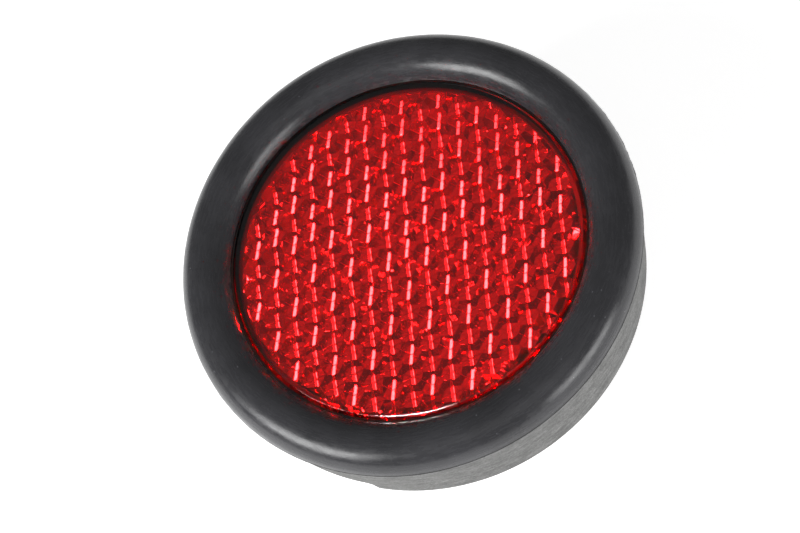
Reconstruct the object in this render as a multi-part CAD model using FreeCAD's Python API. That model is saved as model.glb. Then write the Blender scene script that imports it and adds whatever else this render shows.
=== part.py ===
import FreeCAD, Part
import os
import math

# Rear reflector: a red prismatic lens held in a thick rubber cup, with a
# collared stud at the back that fixes it to a bracket.
# Frame: +Z is the way the lens faces, the origin is the centre of the cup's
# flat back, +Y is the lens's twelve o'clock. Millimetres.

# ---- rubber cup -----------------------------------------------------------
CUP_R = 40.0            # outer radius, at the mould's parting line
PART_Z = 15.6           # height of the parting line
LIP_MID_R = 35.5        # radius of the rolled lip's crest
LIP_ROLL = 4.5          # radius of the roll
STEP_IN = 0.35          # wall set in under the parting line
STEP_DROP = 0.45
BACK_R = 37.8           # radius of the back edge before rounding
BACK_ROUND = 1.0        # rounding of the back edge
POCKET_R = 31.4         # pocket behind the lens
POCKET_Z = 4.4          # floor of the pocket
GROOVE_R = 33.2         # groove that grips the lens flange
PLATE_POCKET = 20.4     # square pocket in the floor for the spreader plate
PLATE_POCKET_Z = 2.8
STUD_HOLE_R = 2.6       # stud hole through the web of rubber
COLLAR_Z = 1.4          # depth of the six-sided pocket for the stud's collar

# drain notch in the back edge
NOTCH_ANGLE = -119.0    # degrees from +X, anticlockwise seen from the front
NOTCH_W = 17.0
NOTCH_H = 5.2
NOTCH_IN_R = 30.2       # how far in the notch reaches, into the pocket floor
NOTCH_ROUND = 1.4       # rounded upper corners of the notch

# ---- lens -----------------------------------------------------------------
FLANGE_R = 33.0
FLANGE_TOP = 16.5
FLANGE_Z = 14.6         # back plane of the flange
FACE_R = 30.2           # raised front face
FACE_Z = 17.0
FACE_BEVEL = 0.5        # bevel from the face down to the flange
PIN_AF = 3.84           # width across flats of the six-sided pins that shape the prisms
FIELD_R = 29.3          # the prism field is cut off round at this radius
ROOT_DEPTH = 0.05       # roots of the prisms behind the flange's back plane
LATTICE_X = -0.45       # plan position of one pin's centre
LATTICE_Y = 0.45

# ---- cover behind the lens ------------------------------------------------
COVER_R = 31.2
COVER_WALL = 1.2
COVER_Z0 = 7.9
COVER_FLOOR = 1.0
RIB_R = 11.0            # stiffening ring under the cover
RIB_W = 1.2
RIB_H = 1.6

# ---- fixings --------------------------------------------------------------
PLATE_W = 20.0
PLATE_T = 1.2
PLATE_CORNER = 1.5
PLATE_HOLE_R = 2.65
STUD_R = 2.5            # M5
STUD_TIP = -15.0        # free end, behind the back face
STUD_TOP = 7.7          # inner end, inside the cup
STUD_CHAMFER = 0.6
COLLAR_AF = 11.0        # six-sided collar, flush with the rubber's back
SPRING_R = 4.6
SPRING_HOLE_R = 2.55
SPRING_T = 1.0
SPRING_GAP = 0.9
NUT_AF = 8.0
NUT_H = 2.7             # thin nut

V = FreeCAD.Vector


def lathe(wire_edges):
    """Solid of revolution about Z from a closed profile in the XZ plane."""
    face = Part.Face(Part.Wire(wire_edges))
    return face.revolve(V(0, 0, 0), V(0, 0, 1), 360)


def seg(a, b):
    return Part.LineSegment(V(a[0], 0, a[1]), V(b[0], 0, b[1])).toShape()


def arc(a, m, b):
    return Part.Arc(V(a[0], 0, a[1]), V(m[0], 0, m[1]), V(b[0], 0, b[1])).toShape()


def polyline(points):
    return [seg(points[i], points[i + 1]) for i in range(len(points) - 1)]


def ring(r_in, r_out, z0, z1):
    """Flat ring, or a disc when r_in is 0."""
    body = Part.makeCylinder(r_out, z1 - z0, V(0, 0, z0))
    if r_in > 0:
        body = body.cut(Part.makeCylinder(r_in, z1 - z0 + 2, V(0, 0, z0 - 1)))
    return body


def box(wx, wy, z0, z1, cx=0.0, cy=0.0):
    return Part.makeBox(wx, wy, z1 - z0, V(cx - wx / 2.0, cy - wy / 2.0, z0))


def hexagon(across_flats, z0, z1):
    r = across_flats / math.sqrt(3.0)
    pts = [V(r * math.cos(math.radians(60 * k)), r * math.sin(math.radians(60 * k)), z0)
           for k in range(6)]
    return Part.Face(Part.makePolygon(pts + [pts[0]])).extrude(V(0, 0, z1 - z0))


def tidy(shape):
    """The one solid in a shape, with split faces joined."""
    shape = shape.removeSplitter()
    if shape.ShapeType == "Compound" and len(shape.Solids) == 1:
        shape = shape.Solids[0]
    return shape


# ---- rubber cup -----------------------------------------------------------
def make_housing():
    # rolled lip: one round roll from the lens edge over the crest to the
    # parting line
    up = FLANGE_TOP - PART_Z
    inner_r = LIP_MID_R - math.sqrt(LIP_ROLL ** 2 - up ** 2)
    lip_edge = arc((inner_r, FLANGE_TOP), (LIP_MID_R, PART_Z + LIP_ROLL), (CUP_R, PART_Z))
    wall_top = (CUP_R - STEP_IN, PART_Z - STEP_DROP)
    # wall down to the rounded back edge
    wx = wall_top[0] - BACK_R
    slope = math.atan2(wx, wall_top[1])
    k = BACK_ROUND * math.tan((math.pi / 2.0 - slope) / 2.0)
    on_wall = (BACK_R + k * math.sin(slope), k * math.cos(slope))
    on_back = (BACK_R - k, 0.0)
    centre = (on_back[0], BACK_ROUND)
    away = math.atan2(on_wall[1] - centre[1], on_wall[0] - centre[0])
    mid_a = (away - math.pi / 2.0) / 2.0
    mid = (centre[0] + BACK_ROUND * math.cos(mid_a), centre[1] + BACK_ROUND * math.sin(mid_a))
    edges = [lip_edge]
    edges += polyline([(CUP_R, PART_Z), wall_top, on_wall])
    edges.append(arc(on_wall, mid, on_back))
    edges += polyline([
        on_back, (STUD_HOLE_R, 0.0), (STUD_HOLE_R, POCKET_Z),
        (POCKET_R, POCKET_Z), (POCKET_R, FLANGE_Z),
        (GROOVE_R, FLANGE_Z), (GROOVE_R, FLANGE_TOP), (inner_r, FLANGE_TOP)])
    cup = lathe(edges)
    # square pocket for the spreader plate
    cup = cup.cut(box(PLATE_POCKET, PLATE_POCKET, PLATE_POCKET_Z, POCKET_Z + 1.0))
    # six-sided pocket in the back for the stud's collar
    cup = cup.cut(hexagon(COLLAR_AF, -1.0, COLLAR_Z))
    # drain notch: a short channel with rounded upper corners
    w = NOTCH_W / 2.0
    r = NOTCH_ROUND
    x0 = NOTCH_IN_R
    x1 = CUP_R + 5.0
    pts = [V(x0, -w, -1), V(x0, -w, NOTCH_H - r), V(x0, -w + r, NOTCH_H),
           V(x0, w - r, NOTCH_H), V(x0, w, NOTCH_H - r), V(x0, w, -1)]
    c = r * (1 - math.sqrt(0.5))
    wire = Part.Wire([
        Part.LineSegment(pts[0], pts[1]).toShape(),
        Part.Arc(pts[1], V(x0, -w + c, NOTCH_H - c), pts[2]).toShape(),
        Part.LineSegment(pts[2], pts[3]).toShape(),
        Part.Arc(pts[3], V(x0, w - c, NOTCH_H - c), pts[4]).toShape(),
        Part.LineSegment(pts[4], pts[5]).toShape(),
        Part.LineSegment(pts[5], pts[0]).toShape()])
    notch = Part.Face(wire).extrude(V(x1 - x0, 0, 0))
    notch.rotate(V(0, 0, 0), V(0, 0, 1), NOTCH_ANGLE)
    return tidy(cup.cut(notch))


# ---- lens -----------------------------------------------------------------
def pins():
    """Six-sided pins that shape the back of the lens: column, row, centre in
    plan, and the way the upright edge of the pin's tip runs, -90 or 90."""
    s = PIN_AF
    found = {}
    for i in range(-11, 12):
        for j in range(-11, 12):
            x = LATTICE_X + i * s * math.sqrt(3.0) / 2.0
            y = LATTICE_Y + (j + (i % 2) / 2.0) * s
            if math.hypot(x, y) > FIELD_R + s / math.sqrt(3.0) + 0.1:
                continue
            row = (j - (i % 2)) % 3
            if row == 0:
                way = -90 if y > 1.0 or (abs(x) < 3.0 and y > 0.0) else 90
            else:
                way = -90 if row == 1 else 90
            found[(i, j)] = (x, y, way)
    return found


def beyond(i, j, side):
    """Column and row of the pin across one side, by the side's direction."""
    odd = i % 2
    return {90: (i, j + 1), 270: (i, j - 1),
            30: (i + 1, j + odd), 330: (i + 1, j + odd - 1),
            150: (i - 1, j + odd), 210: (i - 1, j + odd - 1)}[side]


def make_lens():
    """Each pin leaves a cube corner behind the lens: three square faces that
    meet at an apex, with their edges running to the middles of three sides."""
    s = PIN_AF
    h = s / math.sqrt(2.0)      # height of a cube corner
    root = FLANGE_Z - ROOT_DEPTH
    top = FLANGE_Z + 1.0
    field = pins()
    store = {}

    def corner(x, y, z):
        k = (round(x, 3), round(y, 3), round(z, 3))
        if k not in store:
            store[k] = V(x, y, z)
        return store[k]

    def at(x, y, r, deg, z):
        return corner(x + r * math.cos(math.radians(deg)), y + r * math.sin(math.radians(deg)), z)

    def dips(way, side):
        return (side - way) % 120 == 0

    def face(pts):
        return Part.Face(Part.makePolygon(list(pts) + [pts[0]]))

    faces = []
    follow = {}
    for (i, j), (x, y, way) in field.items():
        rc = s / math.sqrt(3.0)
        tip = corner(x, y, root - h)
        for side in (30, 90, 150, 210, 270, 330):
            a = at(x, y, rc, side - 30, root)
            b = at(x, y, rc, side + 30, root)
            if not dips(way, side):
                m1 = at(x, y, s / 2.0, side - 60, root - h / 2.0)
                m2 = at(x, y, s / 2.0, side + 60, root - h / 2.0)
                faces.append(face([tip, m1, a, b, m2]))
            m = at(x, y, s / 2.0, side, root - h / 2.0)
            other = field.get(beyond(i, j, side))
            if other is None:
                ta, tb = corner(a.x, a.y, top), corner(b.x, b.y, top)
                faces.append(face([a, m, b, tb, ta] if dips(way, side) else [a, b, tb, ta]))
                follow[(round(a.x, 3), round(a.y, 3))] = ((round(b.x, 3), round(b.y, 3)), tb)
            elif dips(way, side) and not dips(other[2], side + 180):
                faces.append(face([a, m, b]))
    loop = []
    start = next(iter(follow))
    k = start
    while True:
        k, pnt = follow[k]
        loop.append(pnt)
        if k == start:
            break
    assert len(loop) == len(follow), "the field of pins is not in one piece"
    faces.append(face(loop))
    shell = Part.makeCompound(faces)
    shell.sewShape()
    block = Part.Solid(shell.Shells[0] if shell.Shells else shell)
    if block.Volume < 0:
        block.reverse()
    block = block.common(Part.makeCylinder(FIELD_R, 12.0, V(0, 0, top - 12.0)))
    # flange, bevel and raised face
    prof = [(0.0, FLANGE_Z), (FLANGE_R, FLANGE_Z), (FLANGE_R, FLANGE_TOP),
            (FACE_R + FACE_BEVEL, FLANGE_TOP), (FACE_R, FACE_Z), (0.0, FACE_Z), (0.0, FLANGE_Z)]
    return tidy(lathe(polyline(prof)).fuse(block)), len(field)


# ---- cover behind the lens ------------------------------------------------
def make_cover():
    r = COVER_R
    w = COVER_WALL
    z0 = COVER_Z0
    zf = COVER_Z0 + COVER_FLOOR
    prof = [(0.0, z0), (RIB_R - RIB_W / 2, z0), (RIB_R - RIB_W / 2, z0 - RIB_H),
            (RIB_R + RIB_W / 2, z0 - RIB_H), (RIB_R + RIB_W / 2, z0),
            (r - 0.6, z0), (r, z0 + 0.6), (r, FLANGE_Z), (r - w, FLANGE_Z),
            (r - w, zf), (0.0, zf), (0.0, z0)]
    return tidy(lathe(polyline(prof)))


# ---- fixings --------------------------------------------------------------
def make_plate():
    z0 = PLATE_POCKET_Z
    plate = box(PLATE_W, PLATE_W, z0, z0 + PLATE_T)
    upright = [e for e in plate.Edges
               if abs(e.Vertexes[0].X - e.Vertexes[1].X) < 1e-6
               and abs(e.Vertexes[0].Y - e.Vertexes[1].Y) < 1e-6]
    plate = plate.makeFillet(PLATE_CORNER, upright)
    plate = plate.cut(Part.makeCylinder(PLATE_HOLE_R, PLATE_T + 2, V(0, 0, z0 - 1)))
    return tidy(plate)


def make_stud():
    c = STUD_CHAMFER
    prof = [(0, STUD_TIP), (STUD_R - c, STUD_TIP), (STUD_R, STUD_TIP + c),
            (STUD_R, STUD_TOP - c), (STUD_R - c, STUD_TOP), (0, STUD_TOP), (0, STUD_TIP)]
    rod = lathe(polyline(prof))
    return tidy(rod.fuse(hexagon(COLLAR_AF, 0.0, COLLAR_Z)))


def make_spring_washer():
    z0 = PLATE_POCKET_Z + PLATE_T
    z1 = z0 + SPRING_T
    w = ring(SPRING_HOLE_R, SPRING_R, z0, z1)
    slit = Part.makeBox(10, SPRING_GAP, SPRING_T * 3, V(0, -SPRING_GAP / 2, z0 - SPRING_T))
    # the cut runs slantwise through the ring's thickness
    slit.rotate(V(0, 0, (z0 + z1) / 2), V(1, 0, 0), 22)
    return tidy(w.cut(slit))


def make_nut():
    z0 = PLATE_POCKET_Z + PLATE_T + SPRING_T
    z1 = z0 + NUT_H
    ac = NUT_AF / math.sqrt(3.0)
    nut = hexagon(NUT_AF, z0, z1)
    # corners turned off top and bottom
    r0 = NUT_AF / 2.0 * 0.98
    drop = (ac - r0) * math.tan(math.radians(30))
    prof = [(0, z0), (r0, z0), (ac + 0.01, z0 + drop), (ac + 0.01, z1 - drop), (r0, z1), (0, z1), (0, z0)]
    nut = nut.common(lathe(polyline(prof)))
    # hole, with a countersink at each mouth
    c = 0.35
    hole = [(0, z0 - 1), (STUD_R + c, z0 - 1), (STUD_R + c, z0), (STUD_R, z0 + c),
            (STUD_R, z1 - c), (STUD_R + c, z1), (STUD_R + c, z1 + 1), (0, z1 + 1), (0, z0 - 1)]
    return tidy(nut.cut(lathe(polyline(hole))))


def main():
    os.makedirs("parts", exist_ok=True)
    lens, count = make_lens()
    parts = {
        "rubber_housing": make_housing(),
        "reflector_lens": lens,
        "lens_back_cover": make_cover(),
        "threaded_stud": make_stud(),
        "spreader_plate": make_plate(),
        "spring_washer": make_spring_washer(),
        "hex_nut": make_nut(),
    }
    for name, shape in parts.items():
        box_ = shape.BoundBox
        print("%-16s %-8s valid=%s solids=%d faces=%d vol=%.1f z %.2f..%.2f r %.2f" % (
            name, shape.ShapeType, shape.isValid(), len(shape.Solids), len(shape.Faces),
            shape.Volume, box_.ZMin, box_.ZMax, max(box_.XMax, box_.YMax)))
        shape.exportStep("parts/%s.step" % name)
    print("pins, whole and cut", count)
    return parts


if __name__ == "__main__":
    main()
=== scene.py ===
import bpy
import bmesh
import math
import random
from mathutils import Vector, Matrix, noise


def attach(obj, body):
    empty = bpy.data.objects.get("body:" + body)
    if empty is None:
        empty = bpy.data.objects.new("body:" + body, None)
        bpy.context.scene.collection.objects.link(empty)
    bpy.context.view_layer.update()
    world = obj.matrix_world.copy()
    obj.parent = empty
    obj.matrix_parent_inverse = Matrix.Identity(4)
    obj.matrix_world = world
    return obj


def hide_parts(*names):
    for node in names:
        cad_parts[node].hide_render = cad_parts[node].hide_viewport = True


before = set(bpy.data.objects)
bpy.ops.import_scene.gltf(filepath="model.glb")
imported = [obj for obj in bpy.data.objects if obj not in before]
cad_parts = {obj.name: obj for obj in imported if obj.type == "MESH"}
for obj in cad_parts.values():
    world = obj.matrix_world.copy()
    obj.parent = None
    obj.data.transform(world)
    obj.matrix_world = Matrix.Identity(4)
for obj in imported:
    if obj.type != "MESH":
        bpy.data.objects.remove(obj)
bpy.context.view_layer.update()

MM = 0.001

# ---------------------------------------------------------------------------
# sizes, in millimetres, the same as the solids
# ---------------------------------------------------------------------------
CUP_R = 40.0
PART_Z = 15.6
LIP_MID_R = 35.5
LIP_ROLL = 4.5
STEP_IN = 0.35
STEP_DROP = 0.45
BACK_R = 37.8
BACK_ROUND = 1.0
POCKET_R = 31.4
POCKET_Z = 4.4
GROOVE_R = 33.2
PLATE_POCKET = 20.4
PLATE_POCKET_Z = 2.8
STUD_HOLE_R = 2.6
COLLAR_Z = 1.4
NOTCH_ANGLE = -119.0
NOTCH_W = 17.0
NOTCH_H = 5.2
NOTCH_IN_R = 30.2
NOTCH_ROUND = 1.4

FLANGE_R = 33.0
FLANGE_TOP = 16.5
FLANGE_Z = 14.6
FACE_R = 30.2
FACE_Z = 17.0
FACE_BEVEL = 0.5
PIN_AF = 3.84
FIELD_R = 29.3
ROOT_DEPTH = 0.05
LATTICE_X = -0.45
LATTICE_Y = 0.45

COVER_R = 31.2
COVER_WALL = 1.2
COVER_Z0 = 7.9
COVER_FLOOR = 1.0
RIB_R = 11.0
RIB_W = 1.2
RIB_H = 1.6

PLATE_W = 20.0
PLATE_T = 1.2
PLATE_CORNER = 1.5
PLATE_HOLE_R = 2.65
STUD_R = 2.5
STUD_TIP = -15.0
STUD_TOP = 7.7
STUD_CHAMFER = 0.6
THREAD_PITCH = 0.8
THREAD_DEPTH = 0.46
COLLAR_AF = 11.0
SPRING_R = 4.6
SPRING_HOLE_R = 2.55
SPRING_T = 1.0
SPRING_GAP = 0.9
NUT_AF = 8.0
NUT_H = 2.7


# ---------------------------------------------------------------------------
# small helpers
# ---------------------------------------------------------------------------
def mesh_object(name, verts, faces, angle=32.0, close=True):
    """Object from millimetre points and index lists."""
    me = bpy.data.meshes.new(name)
    me.from_pydata([(v[0] * MM, v[1] * MM, v[2] * MM) for v in verts], [], faces)
    bm = bmesh.new()
    bm.from_mesh(me)
    if close:
        bmesh.ops.remove_doubles(bm, verts=bm.verts, dist=1e-7)
    bmesh.ops.recalc_face_normals(bm, faces=bm.faces)
    bm.to_mesh(me)
    bm.free()
    ob = bpy.data.objects.new(name, me)
    bpy.context.scene.collection.objects.link(ob)
    me.polygons.foreach_set("use_smooth", [True] * len(me.polygons))
    me.set_sharp_from_angle(angle=math.radians(angle))
    return ob


def ring_stack(name, rows, seg, angle=32.0, cap_first=False, cap_last=False, loop=False):
    """Closed body from rows of points round the Z axis. Each row is a function
    of the angle that gives (radius, z), or a plain (radius, z)."""
    verts = []
    for row in rows:
        for i in range(seg):
            t = 2 * math.pi * i / seg
            r, z = row(t) if callable(row) else row
            verts.append((r * math.cos(t), r * math.sin(t), z))
    faces = []
    n = len(rows)
    for k in range(n if loop else n - 1):
        a, b = k * seg, ((k + 1) % n) * seg
        for i in range(seg):
            j = (i + 1) % seg
            faces.append((a + i, a + j, b + j, b + i))
    if cap_first:
        faces.append(tuple(range(seg))[::-1])
    if cap_last:
        faces.append(tuple(range((n - 1) * seg, n * seg)))
    return mesh_object(name, verts, faces, angle)


def arc_pts(cx, cz, r, a0, a1, n):
    return [(cx + r * math.cos(math.radians(a0 + (a1 - a0) * i / n)),
             cz + r * math.sin(math.radians(a0 + (a1 - a0) * i / n))) for i in range(n + 1)]


def line_pts(a, b, n):
    return [(a[0] + (b[0] - a[0]) * i / n, a[1] + (b[1] - a[1]) * i / n) for i in range(1, n + 1)]


def applied(ob):
    """Apply the object's modifiers to its own mesh."""
    dg = bpy.context.evaluated_depsgraph_get()
    dg.update()
    me = bpy.data.meshes.new_from_object(ob.evaluated_get(dg), preserve_all_data_layers=True, depsgraph=dg)
    ob.modifiers.clear()
    ob.data = me
    return ob


def finish_piece(ob, node, mat):
    ob.data.materials.clear()
    ob.data.materials.append(mat)
    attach(ob, "root")
    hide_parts(node)
    return ob


# ---------------------------------------------------------------------------
# lens: flat front, cube-corner prisms behind
# ---------------------------------------------------------------------------
def pins():
    """Six-sided pins that shape the back of the lens: column, row, centre in
    plan, and the way the upright edge of the pin's tip runs, -90 or 90."""
    s = PIN_AF
    found = {}
    for i in range(-11, 12):
        for j in range(-11, 12):
            x = LATTICE_X + i * s * math.sqrt(3.0) / 2.0
            y = LATTICE_Y + (j + (i % 2) / 2.0) * s
            if math.hypot(x, y) > FIELD_R + s / math.sqrt(3.0) + 0.1:
                continue
            row = (j - (i % 2)) % 3
            if row == 0:
                way = -90 if y > 1.0 or (abs(x) < 3.0 and y > 0.0) else 90
            else:
                way = -90 if row == 1 else 90
            found[(i, j)] = (x, y, way)
    return found


def beyond(i, j, side):
    """Column and row of the pin across one side, by the side's direction."""
    odd = i % 2
    return {90: (i, j + 1), 270: (i, j - 1),
            30: (i + 1, j + odd), 330: (i + 1, j + odd - 1),
            150: (i - 1, j + odd), 210: (i - 1, j + odd - 1)}[side]


RIDGE_W = 0.10          # flat along a slanting edge of a cube corner, across one face
DOWN_W = 0.28           # flat along an upright edge that runs down from its apex
UP_W = 0.34             # and along one that runs up
END_W = 0.26            # both at the side of the pin


def build_lens():
    s = PIN_AF
    h = s / math.sqrt(2.0)
    root = FLANGE_Z - ROOT_DEPTH
    top = FLANGE_Z + 0.8
    V = []
    F = []
    index = {}

    def vid(p):
        k = (round(p[0], 4), round(p[1], 4), round(p[2], 4))
        if k not in index:
            index[k] = len(V)
            V.append(Vector(p))
        return index[k]

    def face(pts):
        out = []
        for q in [vid(p) for p in pts]:
            if not out or out[-1] != q:
                out.append(q)
        if out[0] == out[-1]:
            out.pop()
        if len(out) > 2:
            F.append(out)

    def at(x, y, r, deg, z):
        a = math.radians(deg)
        return Vector((x + r * math.cos(a), y + r * math.sin(a), z))

    def dips(way, side):
        return (side - way) % 120 == 0

    field = pins()
    rc = s / math.sqrt(3.0)

    def chain(x, y, way, side):
        """Edge of a pin along one side, from corner to corner."""
        a = at(x, y, rc, side - 30, root)
        b = at(x, y, rc, side + 30, root)
        if not dips(way, side):
            return [a, b]
        m = at(x, y, s / 2.0, side, root - h / 2.0)
        tip = Vector((x, y, root - h))
        w = END_W if side % 180 == 90 else RIDGE_W
        e = (m - tip).normalized()
        out = [a]
        for q in (a, b):
            d = (q - m).normalized()
            out.append(m + d * (w / d.cross(e).length))
        return out + [b]

    follow = {}
    for (i, j), (x, y, way) in field.items():
        tip = Vector((x, y, root - h))
        ridge = {}
        near_tip = []
        for r_side in [way % 360, (way + 120) % 360, (way + 240) % 360]:
            ridge[r_side] = chain(x, y, way, r_side)
        wt = {r: (DOWN_W if r == 270 else UP_W if r == 90 else RIDGE_W) for r in ridge}
        inner = {}
        for side in (30, 90, 150, 210, 270, 330):
            if dips(way, side):
                continue
            r1, r2 = (side - 60) % 360, (side + 60) % 360
            m1 = at(x, y, s / 2.0, r1, root - h / 2.0)
            m2 = at(x, y, s / 2.0, r2, root - h / 2.0)
            e1, e2 = (m1 - tip).normalized(), (m2 - tip).normalized()
            # the two edges meet square at the apex
            c = tip + e2 * wt[r1] + e1 * wt[r2]
            inner[side] = c

            def stop(r, m, e, other):
                """Where the flat starts to change its width toward the side."""
                return tip.lerp(m, 0.84) + other * wt[r]
            p1 = stop(r1, m1, e1, e2)
            p2 = stop(r2, m2, e2, e1)
            a = at(x, y, rc, side - 30, root)
            b = at(x, y, rc, side + 30, root)
            face([c, p1, ridge[r1][2], a, b, ridge[r2][1], p2])
            near_tip.append(c)
        # flats along the three edges
        for r, ch in ridge.items():
            s1, s2 = (r - 60) % 360, (r + 60) % 360
            m = at(x, y, s / 2.0, r, root - h / 2.0)
            e = (m - tip).normalized()
            u1 = (at(x, y, s / 2.0, (r - 120) % 360, root - h / 2.0) - tip).normalized()
            u2 = (at(x, y, s / 2.0, (r + 120) % 360, root - h / 2.0) - tip).normalized()
            q = tip.lerp(m, 0.84)
            a1, a2 = q + u1 * wt[r], q + u2 * wt[r]
            face([inner[s1], inner[s2], a2, a1])
            face([a1, a2, ch[2], ch[1]])
        face(near_tip)
        for side in (30, 90, 150, 210, 270, 330):
            mine = chain(x, y, way, side)
            other = field.get(beyond(i, j, side))
            if other is None:
                a, b = mine[0], mine[-1]
                ta, tb = Vector((a.x, a.y, top)), Vector((b.x, b.y, top))
                face(mine + [tb, ta])
                follow[vid(ta)] = vid(tb)
            elif dips(way, side) and not dips(other[2], side + 180):
                face(mine)
    loop = []
    k = start = next(iter(follow))
    while True:
        k = follow[k]
        loop.append(V[k])
        if k == start:
            break
    face(loop)
    block = mesh_object("lens_red_prismatic", V, F)
    bm = bmesh.new()
    bm.from_mesh(block.data)
    print("PIN_EDGES_NOT_TWO", len([e for e in bm.edges if len(e.link_faces) != 2]), "faces", len(bm.faces))
    bm.free()

    # the field is cut off round, then joined to the flange and the front
    seg = 192
    rim = ring_stack("rim", [(FIELD_R - 0.005, FLANGE_Z - 6.0), (FIELD_R - 0.005, FLANGE_Z + 0.4)], seg,
                     cap_first=True, cap_last=True)
    prof = [(FLANGE_R, FLANGE_Z), (FLANGE_R, FLANGE_TOP), (FACE_R + FACE_BEVEL, FLANGE_TOP),
            (FACE_R + 0.06, FACE_Z - 0.07), (FACE_R - 0.02, FACE_Z - 0.015), (FACE_R - 0.08, FACE_Z)]
    front = ring_stack("front", prof, seg, cap_first=True, cap_last=True)
    for tool, op in ((rim, "INTERSECT"), (front, "UNION")):
        mod = block.modifiers.new(op.lower(), "BOOLEAN")
        mod.operation = op
        mod.solver = "EXACT"
        mod.object = tool
        applied(block)
        bpy.data.objects.remove(tool)
    me = block.data
    bm = bmesh.new()
    bm.from_mesh(me)
    bmesh.ops.dissolve_degenerate(bm, dist=1.5e-6, edges=bm.edges)
    bad = [e for e in bm.edges if len(e.link_faces) != 2]
    print("LENS_EDGES_NOT_TWO", len(bad), "faces", len(bm.faces))
    lim = (FLANGE_Z + 0.02) * MM
    for f in bm.faces:
        f.smooth = f.calc_center_median().z > lim and abs(f.normal.z) < 0.9999
    for e in bm.edges:
        e.smooth = len(e.link_faces) == 2 and all(f.smooth for f in e.link_faces) and \
            e.calc_face_angle(3.0) < math.radians(31)
    bm.to_mesh(me)
    bm.free()
    return block


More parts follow.
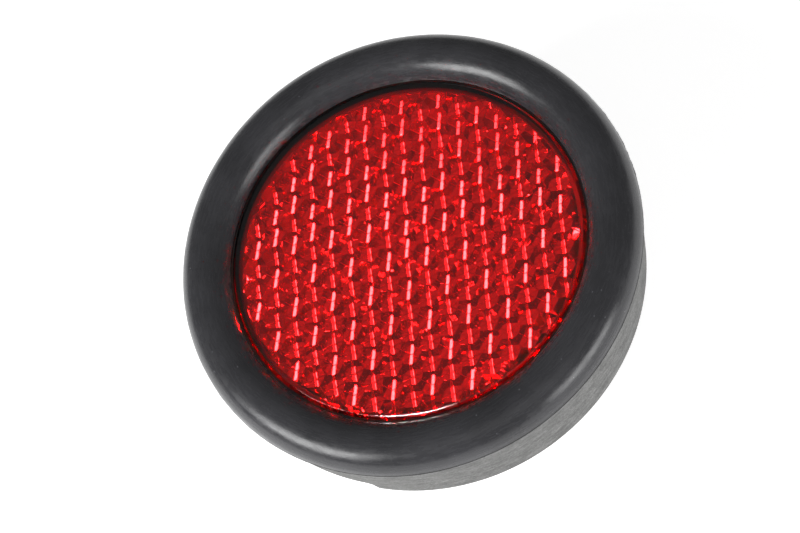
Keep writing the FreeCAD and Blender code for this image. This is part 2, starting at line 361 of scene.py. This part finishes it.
# ---------------------------------------------------------------------------
# rubber cup
# ---------------------------------------------------------------------------
def build_housing():
    seg = 540
    body_r = LIP_ROLL - 0.14
    up = FLANGE_TOP - PART_Z
    inner_r = LIP_MID_R - math.sqrt(LIP_ROLL ** 2 - up ** 2)
    a0 = math.degrees(math.atan2(up, inner_r - LIP_MID_R))
    rows = []
    # the roll, from the lens edge over the crest to the parting line
    roll = arc_pts(LIP_MID_R, PART_Z, LIP_ROLL - 0.003, a0, 2.0, 44)
    for r, z in roll:
        if r > LIP_MID_R:
            # the outer half stands a little inside the parting line's flash
            k = (r - LIP_MID_R) / LIP_ROLL
            r -= 0.14 * k * k
        rows.append((r, z))
    edge_r = CUP_R - 0.14

    def flash(t):
        """Thin torn flash along the parting line, taller over part of the rim."""
        deg = math.degrees(t) % 360.0
        lift = 1.0 if 8 < deg < 100 else 0.25
        n1 = noise.noise(Vector((math.cos(t) * 9.0, math.sin(t) * 9.0, 0.3)))
        n2 = noise.noise(Vector((math.cos(t) * 46.0, math.sin(t) * 46.0, 4.1)))
        v = 0.035 + lift * (0.05 + 0.055 * n1 + 0.075 * n2)
        return (min(CUP_R - 0.001, edge_r + max(0.01, v)), PART_Z - 0.02)
    rows.append((edge_r, PART_Z + 0.09))
    rows.append(flash)
    rows.append((edge_r - 0.02, PART_Z - 0.12))
    wall_top = (CUP_R - STEP_IN, PART_Z - STEP_DROP)
    rows.append((wall_top[0] + 0.05, wall_top[1] + 0.06))
    wx = wall_top[0] - BACK_R
    slope = math.atan2(wx, wall_top[1])
    k = BACK_ROUND * math.tan((math.pi / 2.0 - slope) / 2.0)
    on_wall = (BACK_R + k * math.sin(slope), k * math.cos(slope))
    on_back = (BACK_R - k, 0.0)
    rows += line_pts((wall_top[0], wall_top[1]), on_wall, 8)
    away = math.degrees(math.atan2(on_wall[1] - BACK_ROUND, on_wall[0] - on_back[0]))
    rows += arc_pts(on_back[0], BACK_ROUND, BACK_ROUND, away, -90.0, 7)[1:]
    rows += [(34.0, 0.0), (24.0, 0.0), (12.0, 0.0), (STUD_HOLE_R, 0.0), (STUD_HOLE_R, POCKET_Z),
             (14.0, POCKET_Z), (26.0, POCKET_Z), (POCKET_R, POCKET_Z), (POCKET_R, FLANGE_Z),
             (GROOVE_R, FLANGE_Z), (GROOVE_R, FLANGE_TOP)]
    ob = ring_stack("cup_rubber", rows, seg, loop=True)

    # cutters: drain notch, square pocket, six-sided pocket
    cv, cf = [], []

    def prism(section, z_axis_pts):
        base = len(cv)
        n = len(section)
        for p in z_axis_pts:
            cv.extend([p(q) for q in section])
        cf.append(tuple(range(base, base + n)))
        cf.append(tuple(range(base + n, base + 2 * n)))
        for i in range(n):
            j = (i + 1) % n
            cf.append((base + i, base + j, base + n + j, base + n + i))
    w = NOTCH_W / 2.0
    r = NOTCH_ROUND
    sec = [(-w, -2.0), (-w, NOTCH_H - r)]
    sec += [(-w + r + r * math.cos(math.radians(180 - 15 * i)), NOTCH_H - r + r * math.sin(math.radians(180 - 15 * i)))
            for i in range(1, 7)]
    sec += [(w - r + r * math.cos(math.radians(90 - 15 * i)), NOTCH_H - r + r * math.sin(math.radians(90 - 15 * i)))
            for i in range(0, 7)]
    sec += [(w, -2.0)]
    ca, sa = math.cos(math.radians(NOTCH_ANGLE)), math.sin(math.radians(NOTCH_ANGLE))

    def at(x):
        return lambda q: (x * ca - q[0] * sa, x * sa + q[0] * ca, q[1])
    prism(sec, [at(NOTCH_IN_R), at(48.0)])
    h = PLATE_POCKET / 2.0
    prism([(-h, -h), (h, -h), (h, h), (-h, h)],
          [lambda q: (q[0], q[1], PLATE_POCKET_Z), lambda q: (q[0], q[1], 9.0)])
    rr = COLLAR_AF / math.sqrt(3.0)
    hexa = [(rr * math.cos(math.radians(60 * i)), rr * math.sin(math.radians(60 * i))) for i in range(6)]
    prism(hexa, [lambda q: (q[0], q[1], -2.0), lambda q: (q[0], q[1], COLLAR_Z)])
    cut = mesh_object("cutters", cv, cf)
    mod = ob.modifiers.new("cut", "BOOLEAN")
    mod.operation = "DIFFERENCE"
    mod.solver = "EXACT"
    mod.object = cut
    applied(ob)
    bpy.data.objects.remove(cut)
    bm = bmesh.new()
    bm.from_mesh(ob.data)
    bmesh.ops.dissolve_degenerate(bm, dist=2e-6, edges=bm.edges)
    bad = [e for e in bm.edges if len(e.link_faces) != 2]
    print("CUP_EDGES_NOT_TWO", len(bad))
    bm.to_mesh(ob.data)
    bm.free()
    ob.data.polygons.foreach_set("use_smooth", [True] * len(ob.data.polygons))
    ob.data.set_sharp_from_angle(angle=math.radians(30))
    return ob


# ---------------------------------------------------------------------------
# cover and fixings
# ---------------------------------------------------------------------------
def build_cover():
    r, w, z0, zf = COVER_R, COVER_WALL, COVER_Z0, COVER_Z0 + COVER_FLOOR
    ri, ro = RIB_R - RIB_W / 2, RIB_R + RIB_W / 2
    rows = [(2.0, z0), (ri - 0.2, z0), (ri, z0 - 0.2), (ri, z0 - RIB_H + 0.15), (ri + 0.15, z0 - RIB_H),
            (ro - 0.15, z0 - RIB_H), (ro, z0 - RIB_H + 0.15), (ro, z0 - 0.2), (ro + 0.2, z0),
            (r - 0.6, z0), (r - 0.25, z0 + 0.2), (r, z0 + 0.6), (r, FLANGE_Z), (r - w, FLANGE_Z),
            (r - w, zf + 0.6), (r - w - 0.2, zf + 0.2), (r - w - 0.6, zf), (14.0, zf), (2.0, zf)]
    return ring_stack("cover_back", rows, 160, cap_first=True, cap_last=True)


def hex_r(across_flats):
    def f(t):
        d = (math.degrees(t) % 60.0) - 30.0
        return across_flats / 2.0 / math.cos(math.radians(d))
    return f


def build_stud():
    seg = 72
    rows = []
    step = 0.1
    end = -0.9

    def thread_row(z):
        def row(t):
            ph = ((z - t / (2 * math.pi) * THREAD_PITCH) / THREAD_PITCH) % 1.0
            tri = abs(ph - 0.5) * 2.0
            v = min(1.0, max(0.0, (tri - 0.10) / 0.72))
            fade = min(1.0, max(0.0, (end + 0.9 - z) / 1.2))
            r = STUD_R - THREAD_DEPTH * v * fade
            lead = STUD_R - STUD_CHAMFER + (z - STUD_TIP)
            return (max(0.4, min(r, lead)), z)
        return row
    n = int(round((0.0 - STUD_TIP) / step))
    for i in range(n):
        rows.append(thread_row(STUD_TIP + i * step))
    rows.append((STUD_R, -0.02))
    rows.append((STUD_R, 0.0))
    hx = hex_r(COLLAR_AF)
    top = COLLAR_Z
    rows.append(lambda t: (min(hx(t) - 0.02, COLLAR_AF / 2 * 1.10), 0.0))
    rows.append(lambda t: (hx(t) - 0.01, 0.12))
    rows.append(lambda t: (hx(t) - 0.01, top - 0.05))
    rows.append(lambda t: (hx(t) - 0.06, top))
    rows.append((STUD_R, top))
    rows += [(STUD_R, STUD_TOP - STUD_CHAMFER), (STUD_R - STUD_CHAMFER, STUD_TOP)]
    return ring_stack("stud_m5", rows, seg, angle=28.0, cap_first=True, cap_last=True)


def build_plate():
    z0 = PLATE_POCKET_Z
    z1 = z0 + PLATE_T
    h, c = PLATE_W / 2.0, PLATE_CORNER

    def square_r(t, inset):
        """Rounded square outline, as the radius at an angle."""
        hh, cc = h - inset, c
        x, y = abs(math.cos(t)), abs(math.sin(t))
        k = hh / max(x, y)
        px, py = k * x, k * y
        if px > hh - cc and py > hh - cc:
            # on the rounded corner: meet the ray with the corner's circle
            m = (hh - cc)
            b = m * (x + y)
            return b + math.sqrt(max(0.0, b * b - (2 * m * m - cc * cc)))
        return k
    rows = [lambda t: (square_r(t, 0.1), z0), lambda t: (square_r(t, 0.0), z0 + 0.1),
            lambda t: (square_r(t, 0.0), z1 - 0.1), lambda t: (square_r(t, 0.1), z1),
            (PLATE_HOLE_R + 0.08, z1), (PLATE_HOLE_R, z1 - 0.08), (PLATE_HOLE_R, z0 + 0.08), (PLATE_HOLE_R + 0.08, z0)]
    return ring_stack("plate_steel", rows, 144, loop=True)


def build_spring_washer():
    z0 = PLATE_POCKET_Z + PLATE_T
    z1 = z0 + SPRING_T
    b = 0.08
    sec = [(SPRING_HOLE_R + b, z0), (SPRING_R - b, z0), (SPRING_R, z0 + b), (SPRING_R, z1 - b),
           (SPRING_R - b, z1), (SPRING_HOLE_R + b, z1), (SPRING_HOLE_R, z1 - b), (SPRING_HOLE_R, z0 + b)]
    n = 96
    verts, faces = [], []
    m = len(sec)
    for i in range(n + 1):
        f = i / n
        for r, z in sec:
            # the two cut ends lean by about twenty degrees
            lean = math.tan(math.radians(22)) * (z - (z0 + z1) / 2.0)
            half = SPRING_GAP / 2.0 / math.cos(math.radians(22))
            a_start = math.asin((half + lean) / r) if f < 0.5 else math.asin((half - lean) / r)
            t = a_start + (math.pi - a_start) * (f / 0.5) if f <= 0.5 else \
                math.pi + (math.pi - a_start) * ((f - 0.5) / 0.5)
            verts.append((r * math.cos(t), -r * math.sin(t), z))
    for i in range(n):
        for j in range(m):
            k = (j + 1) % m
            faces.append((i * m + j, i * m + k, (i + 1) * m + k, (i + 1) * m + j))
    faces.append(tuple(range(m)))
    faces.append(tuple(range(n * m, n * m + m)))
    return mesh_object("spring_washer_split", verts, faces)


def build_nut():
    z0 = PLATE_POCKET_Z + PLATE_T + SPRING_T
    z1 = z0 + NUT_H
    hx = hex_r(NUT_AF)
    r0 = NUT_AF / 2.0 * 0.98
    tan30 = math.tan(math.radians(30))

    def side(z):
        def f(t):
            lim = r0 + min(z - z0, z1 - z) / tan30
            return (min(hx(t), lim), z)
        return f
    c = 0.35
    rows = [(r0, z0)] + [side(z0 + d) for d in (0.05, 0.1, 0.2, 0.36)] + \
        [side(z1 - d) for d in (0.36, 0.2, 0.1, 0.05)] + [(r0, z1)]
    rows += [(STUD_R + c, z1), (STUD_R + 0.005, z1 - c), (STUD_R + 0.005, z0 + c), (STUD_R + c, z0)]
    return ring_stack("nut_thin_m5", rows, 96, loop=True)


# ---------------------------------------------------------------------------
# materials
# ---------------------------------------------------------------------------
class Nodes:
    """Short forms for building a node tree."""

    def __init__(self, name):
        self.mat = bpy.data.materials.new(name)
        self.mat.use_nodes = True
        self.nt = self.mat.node_tree
        for n in list(self.nt.nodes):
            self.nt.nodes.remove(n)
        self.out = self.nt.nodes.new("ShaderNodeOutputMaterial")
        self.b = self.nt.nodes.new("ShaderNodeBsdfPrincipled")
        self.nt.links.new(self.b.outputs[0], self.out.inputs["Surface"])
        tc = self.nt.nodes.new("ShaderNodeTexCoord")
        self.obj = tc.outputs["Object"]
        sep = self.nt.nodes.new("ShaderNodeSeparateXYZ")
        self.link(self.obj, sep.inputs[0])
        self.x, self.y, self.z = sep.outputs

    def link(self, a, b):
        self.nt.links.new(a, b)

    def put(self, sock, v):
        if isinstance(v, (int, float, tuple, list)):
            sock.default_value = v
        else:
            self.link(v, sock)

    def math(self, op, a, b=None, c=None, clamp=False):
        n = self.nt.nodes.new("ShaderNodeMath")
        n.operation = op
        n.use_clamp = clamp
        self.put(n.inputs[0], a)
        if b is not None:
            self.put(n.inputs[1], b)
        if c is not None:
            self.put(n.inputs[2], c)
        return n.outputs[0]

    def noise(self, vec, scale, detail=3.0, rough=0.5, lac=2.0):
        n = self.nt.nodes.new("ShaderNodeTexNoise")
        self.put(n.inputs["Vector"], vec)
        n.inputs["Scale"].default_value = scale
        n.inputs["Detail"].default_value = detail
        n.inputs["Roughness"].default_value = rough
        n.inputs["Lacunarity"].default_value = lac
        return n.outputs["Fac"]

    def voronoi(self, vec, scale, out="Distance", rand=1.0):
        n = self.nt.nodes.new("ShaderNodeTexVoronoi")
        self.put(n.inputs["Vector"], vec)
        n.inputs["Scale"].default_value = scale
        n.inputs["Randomness"].default_value = rand
        return n.outputs[out]

    def ramp(self, v, lo, hi, a=0.0, b=1.0, smooth=True):
        n = self.nt.nodes.new("ShaderNodeMapRange")
        n.interpolation_type = "SMOOTHSTEP" if smooth else "LINEAR"
        self.put(n.inputs["Value"], v)
        n.inputs["From Min"].default_value = lo
        n.inputs["From Max"].default_value = hi
        n.inputs["To Min"].default_value = a
        n.inputs["To Max"].default_value = b
        return n.outputs[0]

    def vec(self, x, y, z):
        n = self.nt.nodes.new("ShaderNodeCombineXYZ")
        for i, v in enumerate((x, y, z)):
            self.put(n.inputs[i], v)
        return n.outputs[0]

    def mix(self, f, a, b):
        n = self.nt.nodes.new("ShaderNodeMix")
        n.data_type = "FLOAT"
        self.put(n.inputs[0], f)
        self.put(n.inputs[2], a)
        self.put(n.inputs[3], b)
        return n.outputs[0]

    def mixc(self, f, a, b):
        n = self.nt.nodes.new("ShaderNodeMix")
        n.data_type = "RGBA"
        self.put(n.inputs[0], f)
        self.put(n.inputs[6], a)
        self.put(n.inputs[7], b)
        return n.outputs[2]

    def bump(self, height, strength, dist, prev=None):
        n = self.nt.nodes.new("ShaderNodeBump")
        n.inputs["Strength"].default_value = strength
        n.inputs["Distance"].default_value = dist
        self.link(height, n.inputs["Height"])
        if prev is not None:
            self.link(prev, n.inputs["Normal"])
        return n.outputs[0]

    def polar(self):
        r = self.math("SQRT", self.math("ADD", self.math("MULTIPLY", self.x, self.x),
                                        self.math("MULTIPLY", self.y, self.y)))
        a = self.math("ARCTAN2", self.y, self.x)
        return r, a


def rubber_material():
    g = Nodes("black_rubber")
    r, a = g.polar()
    # the step below the parting line keeps the lip's tone, which is darkened there as painted shade
    wall = g.ramp(g.z, 14.90 * MM, 15.20 * MM, 1.0, 0.0)
    # the smooth lip, wiped round and round
    round_ = g.vec(g.math("MULTIPLY", a, 0.006), r, g.z)
    brush = g.noise(round_, 2600.0, 3.0, 0.6)
    broad = g.noise(g.obj, 70.0, 3.0, 0.55)
    fine = g.noise(g.obj, 5200.0, 2.0, 0.5)
    mid = g.noise(g.obj, 420.0, 4.0, 0.6)
    lip_c = g.math("ADD", g.ramp(broad, 0.3, 0.7, LIP_LO, LIP_HI), g.ramp(brush, 0.35, 0.75, 0.0, 0.008))
    # pale bloom and dust on the coarse wall, with long streaks round it
    around = g.vec(g.math("MULTIPLY", a, 0.012), g.math("MULTIPLY", r, 0.4), g.z)
    streak = g.noise(around, 900.0, 4.0, 0.62)
    grain = g.noise(g.obj, 2400.0, 4.0, 0.65)
    wall_c = g.math("MULTIPLY", g.ramp(streak, 0.28, 0.72, WALL_LO, WALL_HI),
                    g.ramp(grain, 0.25, 0.75, 0.66, 1.28))
    # dust specks
    cell = g.voronoi(g.obj, 700.0)
    pick = g.voronoi(g.obj, 700.0, "Color")
    sepc = g.nt.nodes.new("ShaderNodeSeparateColor")
    g.link(pick, sepc.inputs[0])
    speck = g.math("MULTIPLY", g.ramp(cell, 0.04, 0.09, 1.0, 0.0), g.ramp(sepc.outputs[0], 0.76, 0.80))
    # painted shade: the lip's tone darkened toward the parting line, down over the step under it, as the undercut's
    # shadow
    lip_c = g.math("MULTIPLY", lip_c, g.ramp(g.z, 15.5 * MM, 16.4 * MM, 0.3, 1.0))
    val = g.mix(wall, lip_c, wall_c)
    val = g.mix(g.math("MULTIPLY", speck, 0.50), val, 0.34)
    tint = g.nt.nodes.new("ShaderNodeCombineColor")
    g.link(val, tint.inputs[0])
    g.link(g.math("MULTIPLY", val, 1.0), tint.inputs[1])
    g.link(g.math("MULTIPLY", val, g.mix(wall, 1.10, 0.98)), tint.inputs[2])
    g.link(tint.outputs[0], g.b.inputs["Base Color"])
    lip_rough = g.math("ADD", g.ramp(mid, 0.3, 0.7, LIP_R0, LIP_R1), g.ramp(brush, 0.3, 0.8, 0.0, 0.10))
    g.link(g.mix(wall, lip_rough, 0.85), g.b.inputs["Roughness"])
    g.link(g.mix(wall, g.ramp(g.z, 15.5 * MM, 16.6 * MM, 0.12, 0.46), 0.3), g.b.inputs["Specular IOR Level"])
    h_lip = g.math("ADD", g.math("MULTIPLY", brush, 0.5), g.math("MULTIPLY", fine, 0.35))
    h_wall = g.math("ADD", g.math("MULTIPLY", grain, 1.0), g.math("MULTIPLY", streak, 0.8))
    b1 = g.bump(h_lip, 0.06, 0.0002)
    b2 = g.bump(g.math("MULTIPLY", h_wall, wall), 0.55, 0.0004, b1)
    g.link(b2, g.b.inputs["Normal"])
    return g.mat


def lens_material():
    g = Nodes("red_lens_plastic")
    r, a = g.polar()
    cloud = g.noise(g.obj, 55.0, 3.0, 0.5)
    fine = g.noise(g.obj, 1500.0, 3.0, 0.6)
    front = g.ramp(g.z, (FLANGE_Z + 1.0) * MM, (FLANGE_Z + 1.6) * MM)
    tint = g.mixc(g.ramp(cloud, 0.35, 0.65), (0.64, 0.0036, 0.0040, 1), (0.69, 0.0042, 0.0047, 1))
    g.link(tint, g.b.inputs["Base Color"])
    g.b.inputs["IOR"].default_value = 1.59
    # the plastic is not quite clear: a little light stays in it, within the prism field
    g.link(g.mix(g.ramp(r, 28.4 * MM, 29.6 * MM), g.ramp(cloud, 0.3, 0.7, 0.972, 0.962), 1.0),
           g.b.inputs["Transmission Weight"])
    # a faint haze of handling marks on the front only
    g.link(g.math("MULTIPLY", front, g.ramp(fine, 0.62, 0.8, 0.004, 0.035)), g.b.inputs["Roughness"])
    return g.mat


def cover_material():
    g = Nodes("cover_grey_plastic")
    broad = g.noise(g.obj, 60.0, 3.0, 0.5)
    fine = g.noise(g.obj, 1800.0, 3.0, 0.6)
    c = g.mixc(broad, (COVER_A, COVER_A, COVER_A * 0.98, 1), (COVER_A * 1.25, COVER_A * 1.25, COVER_A * 1.2, 1))
    # painted shade: the welded rim and the top of the wall, under the lens flange, darkened nearly black
    r, a = g.polar()
    rim = g.math("MULTIPLY", g.ramp(r, 28.9 * MM, 29.8 * MM), g.ramp(g.z, 9.5 * MM, 12.5 * MM))
    g.link(g.mixc(rim, c, (0.03, 0.028, 0.027, 1)), g.b.inputs["Base Color"])
    g.link(g.ramp(fine, 0.3, 0.7, 0.45, 0.62), g.b.inputs["Roughness"])
    g.link(g.bump(fine, 0.12, 0.0001), g.b.inputs["Normal"])
    return g.mat


def zinc_material(name, tone):
    g = Nodes(name)
    r, a = g.polar()
    turn = g.vec(g.math("MULTIPLY", a, 0.001), r, g.z)
    lines = g.noise(turn, 9000.0, 2.0, 0.5)
    patch = g.noise(g.obj, 900.0, 4.0, 0.6)
    c = g.mixc(g.ramp(patch, 0.35, 0.7), (0.60 * tone, 0.61 * tone, 0.63 * tone, 1),
               (0.74 * tone, 0.73 * tone, 0.70 * tone, 1))
    g.link(c, g.b.inputs["Base Color"])
    g.b.inputs["Metallic"].default_value = 1.0
    g.link(g.math("ADD", g.ramp(lines, 0.3, 0.7, 0.22, 0.34), g.ramp(patch, 0.5, 0.8, 0.0, 0.14)),
           g.b.inputs["Roughness"])
    g.link(g.bump(lines, 0.10, 0.00005), g.b.inputs["Normal"])
    return g.mat


LIP_LO, LIP_HI = 0.030, 0.046
LIP_R0, LIP_R1 = 0.19, 0.28
WALL_LO, WALL_HI = 0.13, 0.22
COVER_A = 0.40

# ---------------------------------------------------------------------------
# put it together
# ---------------------------------------------------------------------------
finish_piece(build_housing(), "rubber_housing", rubber_material())
lens = finish_piece(build_lens(), "reflector_lens", lens_material())
finish_piece(build_cover(), "lens_back_cover", cover_material())
zinc = zinc_material("zinc_plated_steel", 1.0)
zinc_dull = zinc_material("zinc_plated_dull", 0.86)
finish_piece(build_stud(), "threaded_stud", zinc)
finish_piece(build_plate(), "spreader_plate", zinc_dull)
finish_piece(build_spring_washer(), "spring_washer", zinc_dull)
finish_piece(build_nut(), "hex_nut", zinc)


# ---------------------------------------------------------------------------
# floor, light, camera
# ---------------------------------------------------------------------------
def add_floor():
    me = bpy.data.meshes.new("floor")
    z = -0.0152
    me.from_pydata([(-3, -3, z), (3, -3, z), (3, 3, z), (-3, 3, z)], [], [(0, 1, 2, 3)])
    ob = bpy.data.objects.new("floor", me)
    bpy.context.scene.collection.objects.link(ob)
    g = Nodes("floor_white")
    n = g.noise(g.obj, 3.0, 2.0, 0.5)
    g.link(g.mixc(n, (0.84, 0.84, 0.84, 1), (0.86, 0.86, 0.86, 1)), g.b.inputs["Base Color"])
    g.b.inputs["Roughness"].default_value = 0.9
    g.b.inputs["Emission Color"].default_value = (1, 1, 1, 1)
    g.b.inputs["Emission Strength"].default_value = FLOOR_GLOW
    me.materials.append(g.mat)
    return ob


def dirn(az, el):
    a, e = math.radians(az), math.radians(el)
    return (math.cos(e) * math.cos(a), math.cos(e) * math.sin(a), math.sin(e))


def area(name, az, el, dist, size, size_y, radiance, target=(0, 0, 0.012)):
    """Soft box seen from the object at an azimuth and elevation."""
    li = bpy.data.lights.new(name, "AREA")
    li.shape = "RECTANGLE"
    li.size = size
    li.size_y = size_y
    li.energy = radiance * math.pi * size * size_y
    ob = bpy.data.objects.new(name, li)
    d = Vector(dirn(az, el))
    ob.location = Vector(target) + d * dist
    ob.rotation_euler = d.to_track_quat("Z", "Y").to_euler()
    bpy.context.scene.collection.objects.link(ob)
    return ob


FLOOR_GLOW = 0.72
add_floor()
area("soft_right", -32, 12, 0.6, 0.36, 0.22, 6.4)
area("soft_left", -143, 32, 0.6, 0.36, 0.25, 11.5)
area("soft_front", -60, 62, 0.8, 0.5, 0.5, 0.40)
dash = area("dash_light", -119, 62, 0.6, 0.19, 0.19, 130.0)
only = bpy.data.collections.new("dash_receivers")
only.objects.link(lens)
dash.light_linking.receiver_collection = only

w = bpy.data.worlds.new("world")
bpy.context.scene.world = w
w.use_nodes = True
w.node_tree.nodes["Background"].inputs[0].default_value = (1, 1, 1, 1)
w.node_tree.nodes["Background"].inputs[1].default_value = 0.18

cam = bpy.data.cameras.new("camera")
cam.sensor_width = 36.0
cam.lens = 88.97
cam.dof.use_dof = False
co = bpy.data.objects.new("camera", cam)
bpy.context.scene.collection.objects.link(co)
right = Vector((0.96067635, -0.03700347, -0.27519391))
down = Vector((-0.14470211, -0.91258228, -0.38243284))
fwd = Vector((-0.23698575, 0.40721533, -0.8820507))
rot = Matrix((right, -down, -fwd)).transposed().to_4x4()
co.matrix_world = Matrix.Translation(Vector((76.898, -137.804, 306.992)) * MM) @ rot
bpy.context.scene.camera = co

sc = bpy.context.scene
sc.cycles.max_bounces = 24
sc.cycles.transmission_bounces = 20
sc.cycles.glossy_bounces = 8
sc.cycles.transparent_max_bounces = 16
sc.cycles.sample_clamp_indirect = 0.0
sc.view_settings.view_transform = "Standard"
sc.view_settings.look = "None"

bpy.context.view_layer.update()
